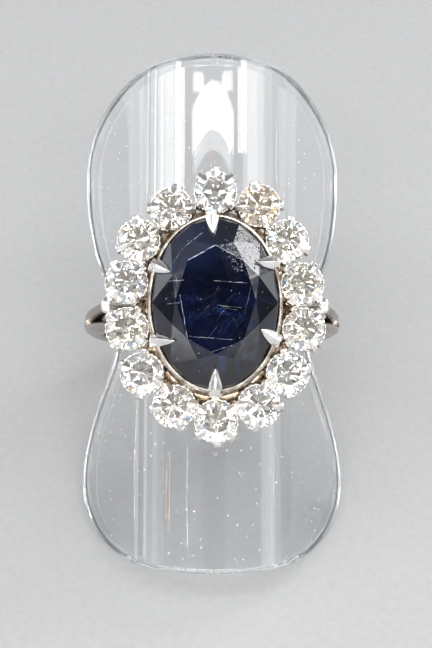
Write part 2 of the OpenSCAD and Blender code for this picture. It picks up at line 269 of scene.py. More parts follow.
def metal_material(name, tint, shade_and_tarnish_tint, rough=(0.1, 0.24), grain=0.08, patches=0.35):
    """Plated white gold: bright where it is high, and darker and browner lower down between the stones and in
    random patches, which is painted shade with some tarnish.
    """
    m = Material(name)
    _, (_, _, height) = m.within(HEAD_INV)
    clouds = m.between(m.noise(0.9, 3), 0.35, 0.7, -0.25, patches)
    # painted shade with some tarnish: darker and browner lower down, and in random patches
    shade_and_tarnish = m.math("ADD", m.between(height, BRIGHT_Z, BROWN_Z), clouds, clamp=True)
    m.set(Base_Color=m.mix(shade_and_tarnish, tint, shade_and_tarnish_tint), Metallic=1.0,
          Roughness=m.between(m.noise(3.5, 4, 0.6), 0.3, 0.7, *rough),
          Normal=m.bump(m.noise(9.0, 3), grain, 0.00001))
    return m.mat


SILVER = metal_material("white_gold_polished", (0.96, 0.95, 0.925), (0.40, 0.31, 0.23))
CUP_METAL = metal_material("white_gold_cups", (0.90, 0.87, 0.82), (0.34, 0.25, 0.18), rough=(0.16, 0.32))
# The collet's copy of the white gold is darker and browner: painted shade where it lies low between the
# sapphire and the diamonds, with some tarnish
SHADED_COLLET_METAL = metal_material("white_gold_collet_shaded", (0.68, 0.63, 0.58), (0.22, 0.165, 0.125),
                              rough=(0.2, 0.38), patches=1.0)
# The band's copy of the white gold is a darker grey all over: painted shade, as if the band, shoulders and
# risers lay in shadow
SHADED_BAND_METAL = metal_material("white_gold_band_shaded", (0.48, 0.455, 0.43), (0.44, 0.405, 0.37),
                            rough=(0.14, 0.30), grain=0.06)

FACET_CELL = 0.06  # facets whose normals differ by less share a colour
PAINTED_FIRE = [
    # place on the ramp of facets, and its colour, where None is the stone's own; the coloured stops are
    # painted glints of fire
    (0.0, None), (0.58, None), (0.63, (1.0, 0.88, 0.55)), (0.67, (1.0, 0.58, 0.28)), (0.71, None),
    (0.80, None), (0.85, (0.70, 0.84, 1.0)), (0.89, (0.35, 0.60, 1.0)), (0.93, None),
    (1.0, (0.98, 0.9, 0.84)),
]


def diamond_material(index, rng):
    """Clear brilliant-cut diamond, a little warm: each facet takes a colour picked by its normal, mostly the
    stone's own, some of them painted glints of yellow, orange or blue fire.
    """
    m = Material(f"diamond_{index:02d}_clear")
    normal = m.node("ShaderNodeNewGeometry").outputs["True Normal"]
    start = tuple(rng.uniform(0, 9) for _ in range(3))
    cell = m.vector("SNAP", m.vector("ADD", normal, start), (FACET_CELL, FACET_CELL, FACET_CELL))
    pick = m.node("ShaderNodeTexWhiteNoise", {0: cell}, noise_dimensions="3D").outputs["Value"]
    warm = rng.uniform(0, 1)
    body = (0.995, 0.965 - 0.02 * warm, 0.915 - 0.06 * warm)
    flat = m.vector("DOT_PRODUCT", normal, tuple(HEAD.to_3x3().col[2].normalized()))
    pick = m.math("MULTIPLY", pick, m.between(flat, 0.99, 0.97))  # the table keeps the stone's own colour
    # base colour: the stone's own, with painted glints of coloured fire on some facets
    m.set(Base_Color=m.ramp(pick, [(at, color or body) for at, color in PAINTED_FIRE]), IOR=2.42,
          Roughness=m.between(m.noise(2.2, 3), 0.62, 0.8, 0.0, 0.06),
          Transmission_Weight=m.between(m.noise(1.5), 0.35, 0.65, 0.84, 0.92))
    return m.mat


DEEP_BLUES = (0.0004, 0.0008, 0.004), (0.0006, 0.0014, 0.007)
# Base colours: a painted reflection over the upper facets, a painted glow low in the table, and a darker ring
# at the table's lower edge
PAINTED_REFLECTION_BLUE, PAINTED_GLOW_BLUE, RIM_BLUE = (0.02, 0.05, 0.15), (0.001, 0.0025, 0.014), (0.0003, 0.0005, 0.002)
# Colours of a painted glow that the stone emits all over, brighter in the glow patch and dimmer round the
# table's edge
EMITTED_GLOW_BLUES = (0.0010, 0.0018, 0.0070), (0.0020, 0.0036, 0.0155)
EMITTED_GLOW_PATCH, EMITTED_GLOW_RIM = (0.0030, 0.0050, 0.0270), (0.0008, 0.0010, 0.0022)
GLOW_AT, RUMPLE_AT = (-0.3, -3.2, 0.0), (2.0, 3.6, 0.0)
SCRATCH_AND_HIGHLIGHT_WHITE = (0.62, 0.66, 0.74)
# Lines on the crown: the first two run along the table's upper edges and are painted highlights there, the
# rest are scratches
SCRATCHES_AND_EDGE_HIGHLIGHTS = [
    # x1, y1, x2, y2, half width, strength
    (-1.98, 2.88, -0.03, 3.98, 0.028, 0.9), (0.03, 3.98, 2.0, 2.88, 0.020, 0.6),
    (-0.96, 5.0, -1.56, 4.5, 0.020, 0.7), (-1.56, 4.5, -2.16, 4.02, 0.018, 0.6),
    (-2.16, 4.02, -2.66, 3.45, 0.018, 0.55), (-2.66, 3.45, -3.06, 2.8, 0.018, 0.5),
    (-0.13, 1.39, 2.24, 1.22, 0.020, 0.6), (-2.58, 0.34, -2.01, -2.73, 0.022, 0.5),
    (0.15, -0.39, 1.88, -0.61, 0.014, 0.5), (0.35, -0.52, 1.5, -0.75, 0.012, 0.35),
    (-1.86, -2.65, 1.16, -2.87, 0.018, 0.45), (-3.37, 1.36, -2.29, 1.43, 0.018, 0.6),
    (-3.45, -0.24, -2.58, -0.24, 0.018, 0.45), (-0.28, -3.75, 1.16, -3.31, 0.016, 0.5),
    (-2.9, 1.8, -2.75, 1.0, 0.014, 0.5), (1.9, 2.9, 2.5, 1.9, 0.010, 0.3),
    (2.53, 0.9, 2.09, -1.0, 0.014, 0.3), (0.4, 3.2, 1.3, 0.9, 0.008, 0.2),
    (1.2, -1.2, 1.9, -2.4, 0.010, 0.25), (-1.6, 0.4, -0.9, -0.3, 0.010, 0.3),
    (0.7, 4.4, 2.4, 3.5, 0.020, 0.5), (1.1, 3.7, 2.3, 4.5, 0.016, 0.5),
    (1.5, 3.1, 3.0, 2.7, 0.022, 0.6), (2.3, 3.9, 2.9, 2.4, 0.018, 0.5),
    (1.9, 4.2, 2.6, 3.2, 0.014, 0.5),
]


def fine_scratches(count=14):
    """Faint slanting scratches, one below the other down the table, as rows of SCRATCHES_AND_EDGE_HIGHLIGHTS."""
    rng = random.Random(8)
    rows = []
    for k in range(count):
        x, y = rng.uniform(-0.5, 1.9), 0.6 - 0.25 * k
        aim, reach = math.radians(rng.uniform(28, 66)), rng.uniform(0.35, 0.75)
        dx, dy = reach * math.cos(aim), reach * math.sin(aim)
        rows.append((x - dx, y - dy, x + dx, y + dy, 0.010, rng.uniform(0.16, 0.30)))
    return rows


def scratch_mark(m, point, x1, y1, x2, y2, half, strength):
    """A fine line from one place to another, soft at its sides."""
    ax, ay = x2 - x1, y2 - y1
    from_start = m.vector("SUBTRACT", point, (x1, y1, 0))
    along = m.math("DIVIDE", m.vector("DOT_PRODUCT", from_start, (ax, ay, 0)), ax * ax + ay * ay, clamp=True)
    on_line = m.combine(m.math("MULTIPLY", along, ax), m.math("MULTIPLY", along, ay))
    away = m.vector("LENGTH", m.vector("SUBTRACT", from_start, on_line))
    return m.between(away, half * 1.8, half * 0.8, 0.0, strength * 1.3)


def sapphire_wear_and_highlights(m, hx, hy, hz):
    """Broken scratches and small pits, on the crown alone; two of the lines are painted highlights along the
    table's upper edges.
    """
    flat = m.combine(hx, hy)
    wobble = m.node("ShaderNodeTexNoise", {"Vector": flat, "Scale": 1.3, "Detail": 1.0}).outputs["Color"]
    bent = m.vector("ADD", flat, m.vector("SCALE", m.vector("SUBTRACT", wobble, (0.5, 0.5, 0.5)), scale=0.14))
    bent = m.vector("MULTIPLY", bent, (1, 1, 0))
    lines = m.most([scratch_mark(m, bent, *row) for row in SCRATCHES_AND_EDGE_HIGHLIGHTS + fine_scratches()])
    broken = m.math("MULTIPLY", lines, m.between(m.noise(2.2, 3), 0.36, 0.62, 0.3, 1.0))
    pits = m.between(m.specks(1.7, flat), 0.07, 0.03)
    pits = m.math("MULTIPLY", pits, m.between(m.noise(0.8, 1), 0.45, 0.5))
    on_top = m.between(hz, GIRDLE_Z + 0.3, GIRDLE_Z + 0.5)
    worn = m.math("MULTIPLY", m.math("MAXIMUM", broken, pits), on_top, clamp=True)
    return m.math("MULTIPLY", worn, 0.75)


def sapphire_material():
    """Very dark blue sapphire, near black in its depth, with a rumpled corner, scratches and small pits, and
    painted light in its colour: a reflection over the upper facets, highlights along the table's upper edges,
    and a faint glow that it emits, strongest low in the table.
    """
    m = Material("sapphire_dark_blue")
    head, (hx, hy, hz) = m.within(HEAD_INV)
    zone = m.noise(0.35, at=m.vector("MULTIPLY", head, (1.0, 0.35, 0.4)))
    share = m.vector("LENGTH", m.vector("MULTIPLY", head, (1 / SAPPHIRE_A, 1 / SAPPHIRE_B, 0.0)))
    # painted glow: a brighter blue patch low in the table, in the base colour and in the emission
    glow = m.between(m.away_from(head, GLOW_AT, (0.7, 0.5, 0.0)), 1.5, 0.3)
    # painted reflection: a lighter blue over the upper facets, which also let less light through there
    upper = m.math("MULTIPLY", m.between(hy, 1.6, 4.6), m.between(hx, 2.0, -1.0), clamp=True)
    rim = m.math("MULTIPLY", m.between(share, 0.62, 0.70), m.between(hy, 1.4, 0.2), clamp=True)
    blue = m.mix(m.between(zone, 0.35, 0.7), *DEEP_BLUES)
    blue = m.mix(upper, blue, PAINTED_REFLECTION_BLUE)
    blue = m.mix(m.math("MULTIPLY", glow, 0.5), blue, PAINTED_GLOW_BLUE)
    blue = m.mix(rim, blue, RIM_BLUE)
    # the emission: a painted glow all over the stone
    inner = m.mix(m.between(zone, 0.35, 0.65), *EMITTED_GLOW_BLUES)
    inner = m.mix(m.math("MULTIPLY", glow, 0.7), inner, EMITTED_GLOW_PATCH)
    inner = m.mix(m.between(share, 0.66, 0.74), inner, EMITTED_GLOW_RIM)
    wear_and_highlights = sapphire_wear_and_highlights(m, hx, hy, hz)
    rumpled = m.between(m.away_from(head, RUMPLE_AT, (0.7, 0.6, 0.0)), 1.3, 0.8)
    rumple = m.math("MULTIPLY", rumpled, m.noise(1.5, 3, 0.6))
    polish = m.between(m.noise(1.8, 4), 0.4, 0.7, 0.06, 0.12)
    # base colour: white where the crown is scratched or pitted, and painted highlights along the table's
    # upper edges
    m.set(Base_Color=m.mix(wear_and_highlights, blue, SCRATCH_AND_HIGHLIGHT_WHITE), IOR=1.77, Specular_Tint=(0.96, 0.955, 0.97, 1.0),
          Roughness=m.math("ADD", m.math("MULTIPLY", wear_and_highlights, 0.5), polish),
          Transmission_Weight=m.math("SUBTRACT", m.between(upper, 0.0, 1.0, 1.0, 0.86), wear_and_highlights, clamp=True),
          Normal=m.bump(rumple, 0.6, 0.00012), Emission_Color=inner, Emission_Strength=1.0)
    return m.mat


BROWN_RUBS = [
    # x, half width, lowest z, highest z
    (-3.38, 0.03, 2.8, 9.2), (-3.62, 0.024, 3.6, 8.6), (-0.3, 0.025, 30.0, 33.0),
]
PALE_RUBS = [
    # x, half width, lowest z, highest z
    (-2.0, 0.024, 1.2, 9.8), (4.6, 0.02, 5.0, 10.0), (-6.0, 0.024, 3.0, 13.0), (-5.2, 0.02, 28.0, 37.0),
    (4.9, 0.02, 29.0, 36.5),
]
RUB_FADE = 0.8
RUB_BROWN, DUST_WHITE = (0.42, 0.24, 0.16), (0.95, 0.95, 0.95)


def rub_mark(m, sx, sz, x, half, low, high):
    """A thin line along the sheet, faded at its ends."""
    away = m.math("ABSOLUTE", m.math("SUBTRACT", sx, x))
    line = m.between(away, half * 1.7, half * 0.6)
    line = m.math("MULTIPLY", line, m.between(sz, low, low + RUB_FADE), clamp=True)
    return m.math("MULTIPLY", line, m.between(sz, high, high - RUB_FADE), clamp=True)


def acrylic_material(name, rough, tint, bump, milky=0.0):
    """Clear acrylic sheet, a little dusty, with fine scratches and a few long rub marks along it."""
    m = Material(name)
    _, (sx, sy, sz) = m.within(STAND_INV)
    dust = m.between(m.specks(1.5), 0.10, 0.05)
    dust = m.math("MULTIPLY", dust, m.between(m.noise(0.25), 0.36, 0.5), clamp=True)
    fine = m.between(m.noise(0.6, 5, 0.7), 0.45, 0.75, *rough)
    wander = m.math("ADD", sx, m.between(m.noise(0.09, 1), 0.3, 0.7, -0.16, 0.16))
    on_face = m.between(sy, -4.0, -5.0)
    broken = m.math("MULTIPLY", on_face, m.between(m.noise(0.7, 3), 0.35, 0.6, 0.35, 1.0))
    brown = m.math("MULTIPLY", m.most([rub_mark(m, wander, sz, *row) for row in BROWN_RUBS]), broken)
    pale = m.math("MULTIPLY", m.most([rub_mark(m, wander, sz, *row) for row in PALE_RUBS]), broken)
    white = m.math("MAXIMUM", dust, m.math("MULTIPLY", pale, 0.4))
    marks = m.math("MAXIMUM", m.math("MULTIPLY", white, 0.9), m.math("MULTIPLY", brown, 0.65))
    m.set(Base_Color=m.mix(brown, m.mix(white, tint, DUST_WHITE), RUB_BROWN), IOR=1.49,
          Roughness=m.math("ADD", fine, m.math("MULTIPLY", marks, 0.3)),
          Transmission_Weight=m.math("SUBTRACT", 1.0 - milky, marks, clamp=True),
          Normal=m.bump(m.noise(0.12), bump, 0.00005))
    return m.mat


ACRYLIC = acrylic_material("acrylic_clear", (0.0, 0.05), (0.985, 0.992, 1.0), 0.12)
ACRYLIC_EDGE = acrylic_material("acrylic_sawn_edge", (0.12, 0.28), (0.95, 0.98, 1.0), 0.3, 0.3)


def floor_material():
    """Even pale grey, hardly mottled."""
    m = Material("pale_floor")
    color = m.ramp(m.noise(1.6, 4, 0.65), [(0.3, (0.40, 0.403, 0.406)), (0.7, (0.44, 0.44, 0.442))])
    m.set(Base_Color=color, Roughness=0.9, Specular_IOR_Level=0.15)
    return m.mat


# Meshes

BEVEL_FROM = 28  # edges that turn by less are not bevelled


def add_object(name, data):
    obj = bpy.data.objects.new(name, data)
    bpy.context.scene.collection.objects.link(obj)
    return obj


def piece(name, verts, faces, material, slot, nodes, where=HEAD, smooth=35, bevel=0.0):
    """One piece of the ring or its stand: it rides on the root and stands for its CAD nodes."""
    mesh = bpy.data.meshes.new(name)
    mesh.from_pydata([tuple(where @ Vector(v)) for v in verts], [], [tuple(f) for f in faces])
    bm = bmesh.new()
    bm.from_mesh(mesh)
    bmesh.ops.remove_doubles(bm, verts=bm.verts, dist=2e-7)
    bmesh.ops.recalc_face_normals(bm, faces=bm.faces)
    bm.to_mesh(mesh)
    bm.free()
    obj = add_object(name, mesh)
    mesh.materials.append(material)
    if bevel:
        mod = obj.modifiers.new("edge", "BEVEL")
        mod.width = bevel * MM
        mod.segments = 2
        mod.limit_method = "ANGLE"
        mod.angle_limit = math.radians(BEVEL_FROM)
    if smooth:
        for face in mesh.polygons:
            face.use_smooth = True
        mesh.set_sharp_from_angle(angle=math.radians(smooth))
    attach(obj, "root")
    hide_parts(*nodes)
    return obj


def metal_piece(name, shape, material=SILVER, **options):
    """A piece of the soldered metal, from its (verts, faces)."""
    return piece(name, *shape, material, "white_gold", ["ring_mount"], **options)


def loft(rings, closed=False):
    """Vertices and faces through rings of as many points each, with flat ends unless closed."""
    n = len(rings[0])
    verts = [p for ring in rings for p in ring]
    faces = []
    for i in range(len(rings) if closed else len(rings) - 1):
        a, b = i * n, (i + 1) % len(rings) * n
        faces += [(a + k, a + (k + 1) % n, b + (k + 1) % n, b + k) for k in range(n)]
    if not closed:
        faces += [tuple(range(n))[::-1], tuple((len(rings) - 1) * n + k for k in range(n))]
    return verts, faces


def joined(parts):
    """Several (verts, faces) as one."""
    verts, faces = [], []
    for v, f in parts:
        base = len(verts)
        verts += list(v)
        faces += [tuple(base + i for i in face) for face in f]
    return verts, faces


def lerp(a, b, t):
    return a + (b - a) * t


def circle(count):
    """Points round a unit circle."""
    angles = [2 * math.pi * k / count for k in range(count)]
    return [(math.cos(a), math.sin(a)) for a in angles]


BAR_SIDES, BAR_STEPS = 14, 6
END_RINGS, END_TURN = 3, 28


def rounded_bar(p, q, r0, r1):
    """A round bar between two points, from one radius to the other, with rounded ends."""
    p, q = Vector(p), Vector(q)
    along = (q - p).normalized()
    side = along.orthogonal().normalized()
    up = along.cross(side)
    rings = []
    for k in range(-END_RINGS, BAR_STEPS + END_RINGS + 1):
        past = min(k, 0) + max(k - BAR_STEPS, 0)
        t, a = (k - past) / BAR_STEPS, math.radians(END_TURN * past)
        c = p.lerp(q, t) + along * (lerp(r0, r1, t) * math.sin(a))
        r = lerp(r0, r1, t) * math.cos(a)
        rings.append([c + side * r * x + up * r * y for x, y in circle(BAR_SIDES)])
    return loft(rings)


# Band and shoulders

BAND_ENDS, STRAND_ENDS = (177.5, 362.5), (-25, 205)
STRAND_WALL = WALL * 0.96
STRAND_OVERLAP = 0.03
HOOP_STEP = 2


def band_profile(width, wall, steps=14):
    """Half-round section with its inner edges eased: (radius, y) pairs."""
    eased = [(BORE_R + 0.02, width / 2 - 0.16), (BORE_R + 0.12, width / 2 - 0.03)]
    section = [(r, -y) for r, y in eased]
    for k in range(steps + 1):
        a = math.radians(-90 + 180 * k / steps)
        section.append((BORE_R + wall * (0.45 + 0.55 * math.cos(a)), width / 2 * math.sin(a)))
    return section + eased[::-1]


def hoop(profile, start, end, tilt=0.0, shift=0.0):
    """Section swept round the bore from start to end, tilted about X and moved along the finger."""
    turn = Matrix.Rotation(math.radians(tilt), 3, "X")
    count = round((end - start) / HOOP_STEP)
    rings = []
    for k in range(count + 1):
        a = math.radians(lerp(start, end, k / count))
        ring = [turn @ Vector((r * math.cos(a), y, r * math.sin(a))) for r, y in profile]
        rings.append([v + Vector((0, shift, 0)) for v in ring])
    return loft(rings)


metal_piece("band", hoop(band_profile(BAND_W, WALL), *BAND_ENDS), SHADED_BAND_METAL)
for side, word in ((-1, "front"), (1, "rear")):
    shift = side * ((BAND_W - STRAND_W) / 2 - STRAND_OVERLAP)
    strand = hoop(band_profile(STRAND_W, STRAND_WALL), *STRAND_ENDS, -side * STRAND_SPREAD, shift)
    metal_piece(f"shoulder_strand_{word}", strand, SHADED_BAND_METAL)


# Head

def oval_point(angle, off):
    """A point at an angle round the sapphire's girdle, moved out along the girdle's normal."""
    x, y = math.cos(math.radians(angle)), math.sin(math.radians(angle))
    normal = Vector((x / SAPPHIRE_A, y / SAPPHIRE_B)).normalized()
    return Vector((SAPPHIRE_A * x, SAPPHIRE_B * y)) + normal * off


def swept_oval(profile, count=144):
    """A closed profile of (distance outside the girdle, z) pairs swept round the sapphire's oval."""
    rings = []
    for k in range(count):
        rings.append([(*oval_point(360 * k / count, off), z) for off, z in profile])
    return loft(rings, closed=True)


def risers():
    """Four bars from the shoulders' strands up to the gallery."""
    at = math.radians(RISER_AT)
    foot_r = BORE_R + WALL * 0.6
    foot_y = (BAND_W - STRAND_W) / 2 + BORE_R * math.sin(at) * math.sin(math.radians(STRAND_SPREAD))
    bars = []
    for x in (-1, 1):
        for y in (-1, 1):
            foot = (x * foot_r * math.cos(at), y * foot_y, foot_r * math.sin(at))
            top = (x * (ROW_A - CUP_LEAN), y * (foot_y + RISER_LEAN), GALLERY_Z + GALLERY_T / 2)
            bars.append(rounded_bar(foot, top, RISER_FOOT_R, RISER_TOP_R))
    return joined(bars)


def gallery():
    """The oval plate under the stones, with rounded edges: from the collet out to under the cups' feet."""
    inner, outer = -0.45, ROW_A - CUP_LEAN + CUP_FOOT_R * 0.7 - SAPPHIRE_A
    low, high = GALLERY_Z, GALLERY_Z + GALLERY_T
    return swept_oval([(inner, low + 0.1), (inner + 0.1, low),
                       (outer - 0.18, low), (outer - 0.05, low + 0.08), (outer, low + 0.22),
                       (outer, high - 0.22), (outer - 0.05, high - 0.08), (outer - 0.18, high),
                       (inner + 0.1, high), (inner, high - 0.1)])


COLLET_IN, COLLET_OUT, COLLET_RISE = -0.44, 0.36, 0.3
COLLET_RIM = [
    # distance outside the girdle, height above it: up the outer face, over the rim and down to the seat
    (0.40, -1.6), (0.36, -0.8), (0.31, -0.38), (0.33, -0.34), (0.33, -0.26), (0.29, -0.2), (0.26, -0.02),
    (0.2, 0.03), (0.12, 0.02), (0.05, -0.06), (0.04, -0.3), (-0.02, -0.36), (COLLET_IN, -0.75),
]


def collet():
    """The oval wall round the sapphire, with a fine groove under its rim."""
    foot = [(COLLET_IN, GALLERY_Z + COLLET_RISE), (COLLET_OUT, GALLERY_Z + COLLET_RISE)]
    return swept_oval(foot + [(off, GIRDLE_Z + rise) for off, rise in COLLET_RIM])


CUP_SIDES, CUP_MILLS = 96, 24
CUP_OUTSIDE = [
    # share of the way up, radius, depth of the milling
    (0.0, CUP_FOOT_R - 0.1, 0), (0.03, CUP_FOOT_R, 0), (0.45, 1.12, 0), (0.80, 1.50, 0), (0.835, 1.56, 0.01),
    (0.85, 1.62, 0.06), (0.975, 1.65, 0.07), (0.99, 1.64, 0.07), (1.0, 1.60, 0.05),
]
CUP_SEAT = [
    # radius, depth below the top of the diamond's girdle
    (1.535, 0.04), (1.53, DIAMOND_GIRDLE + 0.06), (0.9, 0.68), (0.35, 1.15), (0.02, 1.42),
]


def cup(mid, outward, rng):
    """A tapered cup that leans out from its foot, with a milled rim, open at the top to seat its diamond."""
    angles = [2 * math.pi * k / CUP_SIDES for k in range(CUP_SIDES)]
    out = Vector((math.cos(math.radians(outward)), math.sin(math.radians(outward)), 0))
    top = Vector((mid.x, mid.y, HALO_Z - 0.03))
    foot = Vector((mid.x, mid.y, GALLERY_Z + GALLERY_T * 0.4)) - out * CUP_LEAN
    phase = rng.uniform(0, 1)
    rings = []
    for t, r, cut in CUP_OUTSIDE:
        c = foot.lerp(top, t)
        reach = [r - cut * (0.5 + 0.5 * math.cos(CUP_MILLS * a + phase)) for a in angles]
        rings.append([(c.x + d * math.cos(a), c.y + d * math.sin(a), c.z) for a, d in zip(angles, reach)])
    for r, down in CUP_SEAT:
        rings.append([(mid.x + r * math.cos(a), mid.y + r * math.sin(a), HALO_Z - down) for a in angles])
    return loft(rings)


CLAW_POST = [
    # from the outer face to the inner one: share of the thickness, of the width and of the height
    (-1.0, 0.72, 0.10), (-0.75, 0.95, 0.62), (-0.2, 1.0, 0.86), (0.35, 1.0, 0.94),
]
CLAW_TIP = [
    # share of the way over the stone to the point, share of the width when sharp and when blunt
    (0.0, 1.0, 1.0), (0.3, 0.82, 0.92), (0.6, 0.56, 0.74), (0.85, 0.3, 0.48), (1.0, 0.1, 0.2),
]
CLAW_ARCH = [
    # share of the height above the stone, share of the width there
    (0.0, 0.92), (0.2, 1.0), (0.42, 0.95), (0.75, 0.55), (1.0, 0.0),
]


def claw(base, inward, reach, wide, post, top_of, high, blunt):
    """A prong on a post, bent over a stone to a point. base is its middle outside the girdle, wide its half
    width, and post its lowest z, its thickness, its half width at the foot and the girdle's z. top_of(d) is
    the height of the stone's face at a distance inward. blunt goes from 0, for a sharp point, to 1."""
    side = Vector((-inward.y, inward.x))
    low, thick, foot_w, gz = post

    def section(d, half):
        """A ring across the claw, from (z, half width) pairs that end in its middle."""
        c = base + inward * d
        left = [(c.x - side.x * w, c.y - side.y * w, z) for z, w in half]
        right = [(c.x + side.x * w, c.y + side.y * w, z) for z, w in half]
        return left + right[-2::-1]

    rings = []
    for d, w, rise in CLAW_POST:
        rings.append(section(thick * d, [
            (low, foot_w * w), (gz - high * 0.9, wide * 0.82 * w), (gz - high * 0.35, wide * w),
            (gz + high * rise * 0.55, wide * 0.62 * w), (gz + high * rise, 0.0)]))
    for t, sharp_w, blunt_w in CLAW_TIP:
        d, w = lerp(thick * 0.42, reach, t), lerp(sharp_w, blunt_w, blunt)
        floor = top_of(d)
        crest = floor + high * 0.3
        if t < 1:
            crest = max(floor + 0.1, lerp(gz + high, top_of(reach) + high * 0.42, t ** 1.3))
        rings.append(section(d, [(lerp(floor, crest, up), wide * w * share) for up, share in CLAW_ARCH]))
    return loft(rings)


def diamond_top(d):
    """Height of a diamond's crown, d inside a claw's base outside its girdle."""
    share = min(1.0, (DIAMOND_R + CLAW_OFF - d) / DIAMOND_R)
    return HALO_Z + min(DIAMOND_CROWN, DIAMOND_CROWN * (1 - share) / (1 - TABLE)) + 0.02


def small_claws(index, mid, outward, rng):
    """The prongs of one cup: two pairs towards its neighbours, and one more outside on the end stones."""
    turns = [-CLAW_TURN, CLAW_TURN, 180 - CLAW_TURN, 180 + CLAW_TURN]
    if index in END_STONES:
        turns.append(0)
    post = (HALO_Z - DIAMOND_PAVILION * 0.6, CLAW_T, CLAW_FOOT_W, HALO_Z)
    parts = []
    for turn in turns:
        aim = math.radians(outward + turn + rng.uniform(-4, 4))
        inward = Vector((-math.cos(aim), -math.sin(aim)))
        wide = CLAW_W * rng.uniform(0.9, 1.1)
        reach = CLAW_REACH * rng.uniform(0.88, 1.08)
        high = CLAW_H * rng.uniform(0.92, 1.06)
        base = mid - inward * (DIAMOND_R + CLAW_OFF)
        parts.append(claw(base, inward, reach, wide, post, diamond_top, high, CLAW_BLUNT))
    return joined(parts)


def long_bead(p, steps=20):
    """A long polished bead that lies along the finger."""
    rings = []
    for k in range(1, steps):
        a = math.pi * k / steps
        y = p.y - BEAD_L / 2 * math.cos(a)
        r = BEAD_W / 2 * math.sin(a) ** 0.8
        rings.append([(p.x - r * across, y, HALO_Z + BEAD_UP + r * up) for across, up in circle(steps)])
    return loft(rings)


def shoulder_bead(first):
    """The long bead outside the gap after a stone, on a stem that comes up from the gallery."""
    a, b = STONES[first][1], STONES[first + 1][1]
    onward = (b - a).normalized()
    outward = Vector((-onward.y, onward.x))
    mid = (a + b) / 2
    p, foot = mid + outward * BEAD_OUT, mid - outward * CUP_LEAN / 2
    stem = rounded_bar((*p, HALO_Z + 0.1), (*p, HALO_Z - STEM_H - 0.04), STEM_TOP_R, STEM_R)
    brace = rounded_bar((*p, HALO_Z - STEM_H), (*foot, GALLERY_Z + GALLERY_T / 2), STEM_R, STEM_R)
    return joined([long_bead(p), stem, brace])


def main_claw(tip_at, foot_at):
    """A talon claw from the gallery over the sapphire's crown, its tip and foot in the given directions."""
    base = oval_point(foot_at, MAIN_CLAW_OFF)
    x, y = math.cos(math.radians(tip_at)), math.sin(math.radians(tip_at))
    tip = Vector((SAPPHIRE_A * MAIN_CLAW_TIP * x, SAPPHIRE_B * MAIN_CLAW_TIP * y))
    inward = (tip - base).normalized()
    reach = (tip - base).length + MAIN_CLAW_PAST

    def top_of(d):
        p = base + inward * d
        share = math.hypot(p.x / SAPPHIRE_A, p.y / SAPPHIRE_B)
        rise = min(SAPPHIRE_CROWN, SAPPHIRE_CROWN * (1 - share) / (1 - TABLE) * 1.04)
        return GIRDLE_Z + max(-0.05, rise) + 0.04

    post = (GALLERY_Z + GALLERY_T * 0.8, MAIN_CLAW_T, MAIN_CLAW_FOOT_W, GIRDLE_Z)
    return claw(base, inward, reach, MAIN_CLAW_W, post, top_of, MAIN_CLAW_H, MAIN_CLAW_BLUNT)


metal_piece("risers", risers(), SHADED_BAND_METAL)
metal_piece("gallery", gallery())
metal_piece("collet", collet(), SHADED_COLLET_METAL)
RNG = random.Random(14)
for i, (_, mid, _, outward) in enumerate(STONES):
    metal_piece(f"cup_{i + 1:02d}", cup(mid, outward, RNG), CUP_METAL, smooth=30)
    metal_piece(f"claws_{i + 1:02d}", small_claws(i, mid, outward, RNG), bevel=0.025)
for word, first in SHOULDER_STONES:
    metal_piece(f"shoulder_bead_{word}", shoulder_bead(first))
for i, directions in enumerate(MAIN_CLAWS):
    metal_piece(f"main_claw_{i + 1}", main_claw(*directions), bevel=0.035)


# Stones

HALF_FACET = 22.5


def turned(v, degrees):
    return Matrix.Rotation(math.radians(degrees), 3, "Z") @ Vector(v)


def brilliant(crown, pavilion, girdle, star_at, sides):
    """A brilliant of unit radius, cut facet by facet from a round blank, with its girdle's top at z = 0. The
    depths of its crown, pavilion and girdle are real ones."""
    narrow = math.cos(math.radians(HALF_FACET))
    star_z = crown * (1 - star_at * narrow) / (1 - TABLE)
    lower_z = -girdle - pavilion * (1 - LOWER * narrow)
    corner, upper, lower = (TABLE, 0, crown), (1, 0, 0), (1, 0, -girdle)
    point = Vector((0, 0, -girdle - pavilion))
    centre = Vector((0, 0, -girdle))
    verts, faces = loft([[(x, y, z) for x, y in circle(sides)] for z in (-girdle - pavilion - 0.1, crown)])
    bm = bmesh.new()
    made = [bm.verts.new(v) for v in verts]
    for f in faces:
        bm.faces.new([made[i] for i in f])

    def cut(a, b, c):
        """Takes away what lies outside the plane through three points."""
        n = (b - a).cross(c - a).normalized()
        if n.dot(a - centre) < 0:
            n.negate()
        everything = bm.verts[:] + bm.edges[:] + bm.faces[:]
        bmesh.ops.bisect_plane(bm, geom=everything, dist=1e-6, plane_co=a, plane_no=n, clear_outer=True)
        rim = [e for e in bm.edges if e.is_boundary]
        if rim:
            bmesh.ops.holes_fill(bm, edges=rim, sides=0)

    for t in range(0, 360, 45):
        side = turned((0, 1, 0), t)
        cut(turned(corner, t), turned(upper, t), turned(corner, t) + side)
        cut(turned(lower, t), point, turned(lower, t) + side)
    for t in range(0, 360, 45):
        star = turned((star_at, 0, star_z), t + HALF_FACET)
        low = turned((LOWER, 0, lower_z), t + HALF_FACET)
        cut(turned(corner, t), turned(corner, t + 45), star)
        for a in (t, t + HALF_FACET):
            cut(star, turned(upper, a), turned(upper, a + HALF_FACET))
            cut(low, turned(lower, a), turned(lower, a + HALF_FACET))
    bmesh.ops.dissolve_degenerate(bm, dist=1e-5, edges=bm.edges)
    bmesh.ops.recalc_face_normals(bm, faces=bm.faces)
    index = {v: i for i, v in enumerate(bm.verts)}
    verts = [tuple(v.co) for v in bm.verts]
    faces = [tuple(index[v] for v in f.verts) for f in bm.faces]
    bm.free()
    return verts, faces


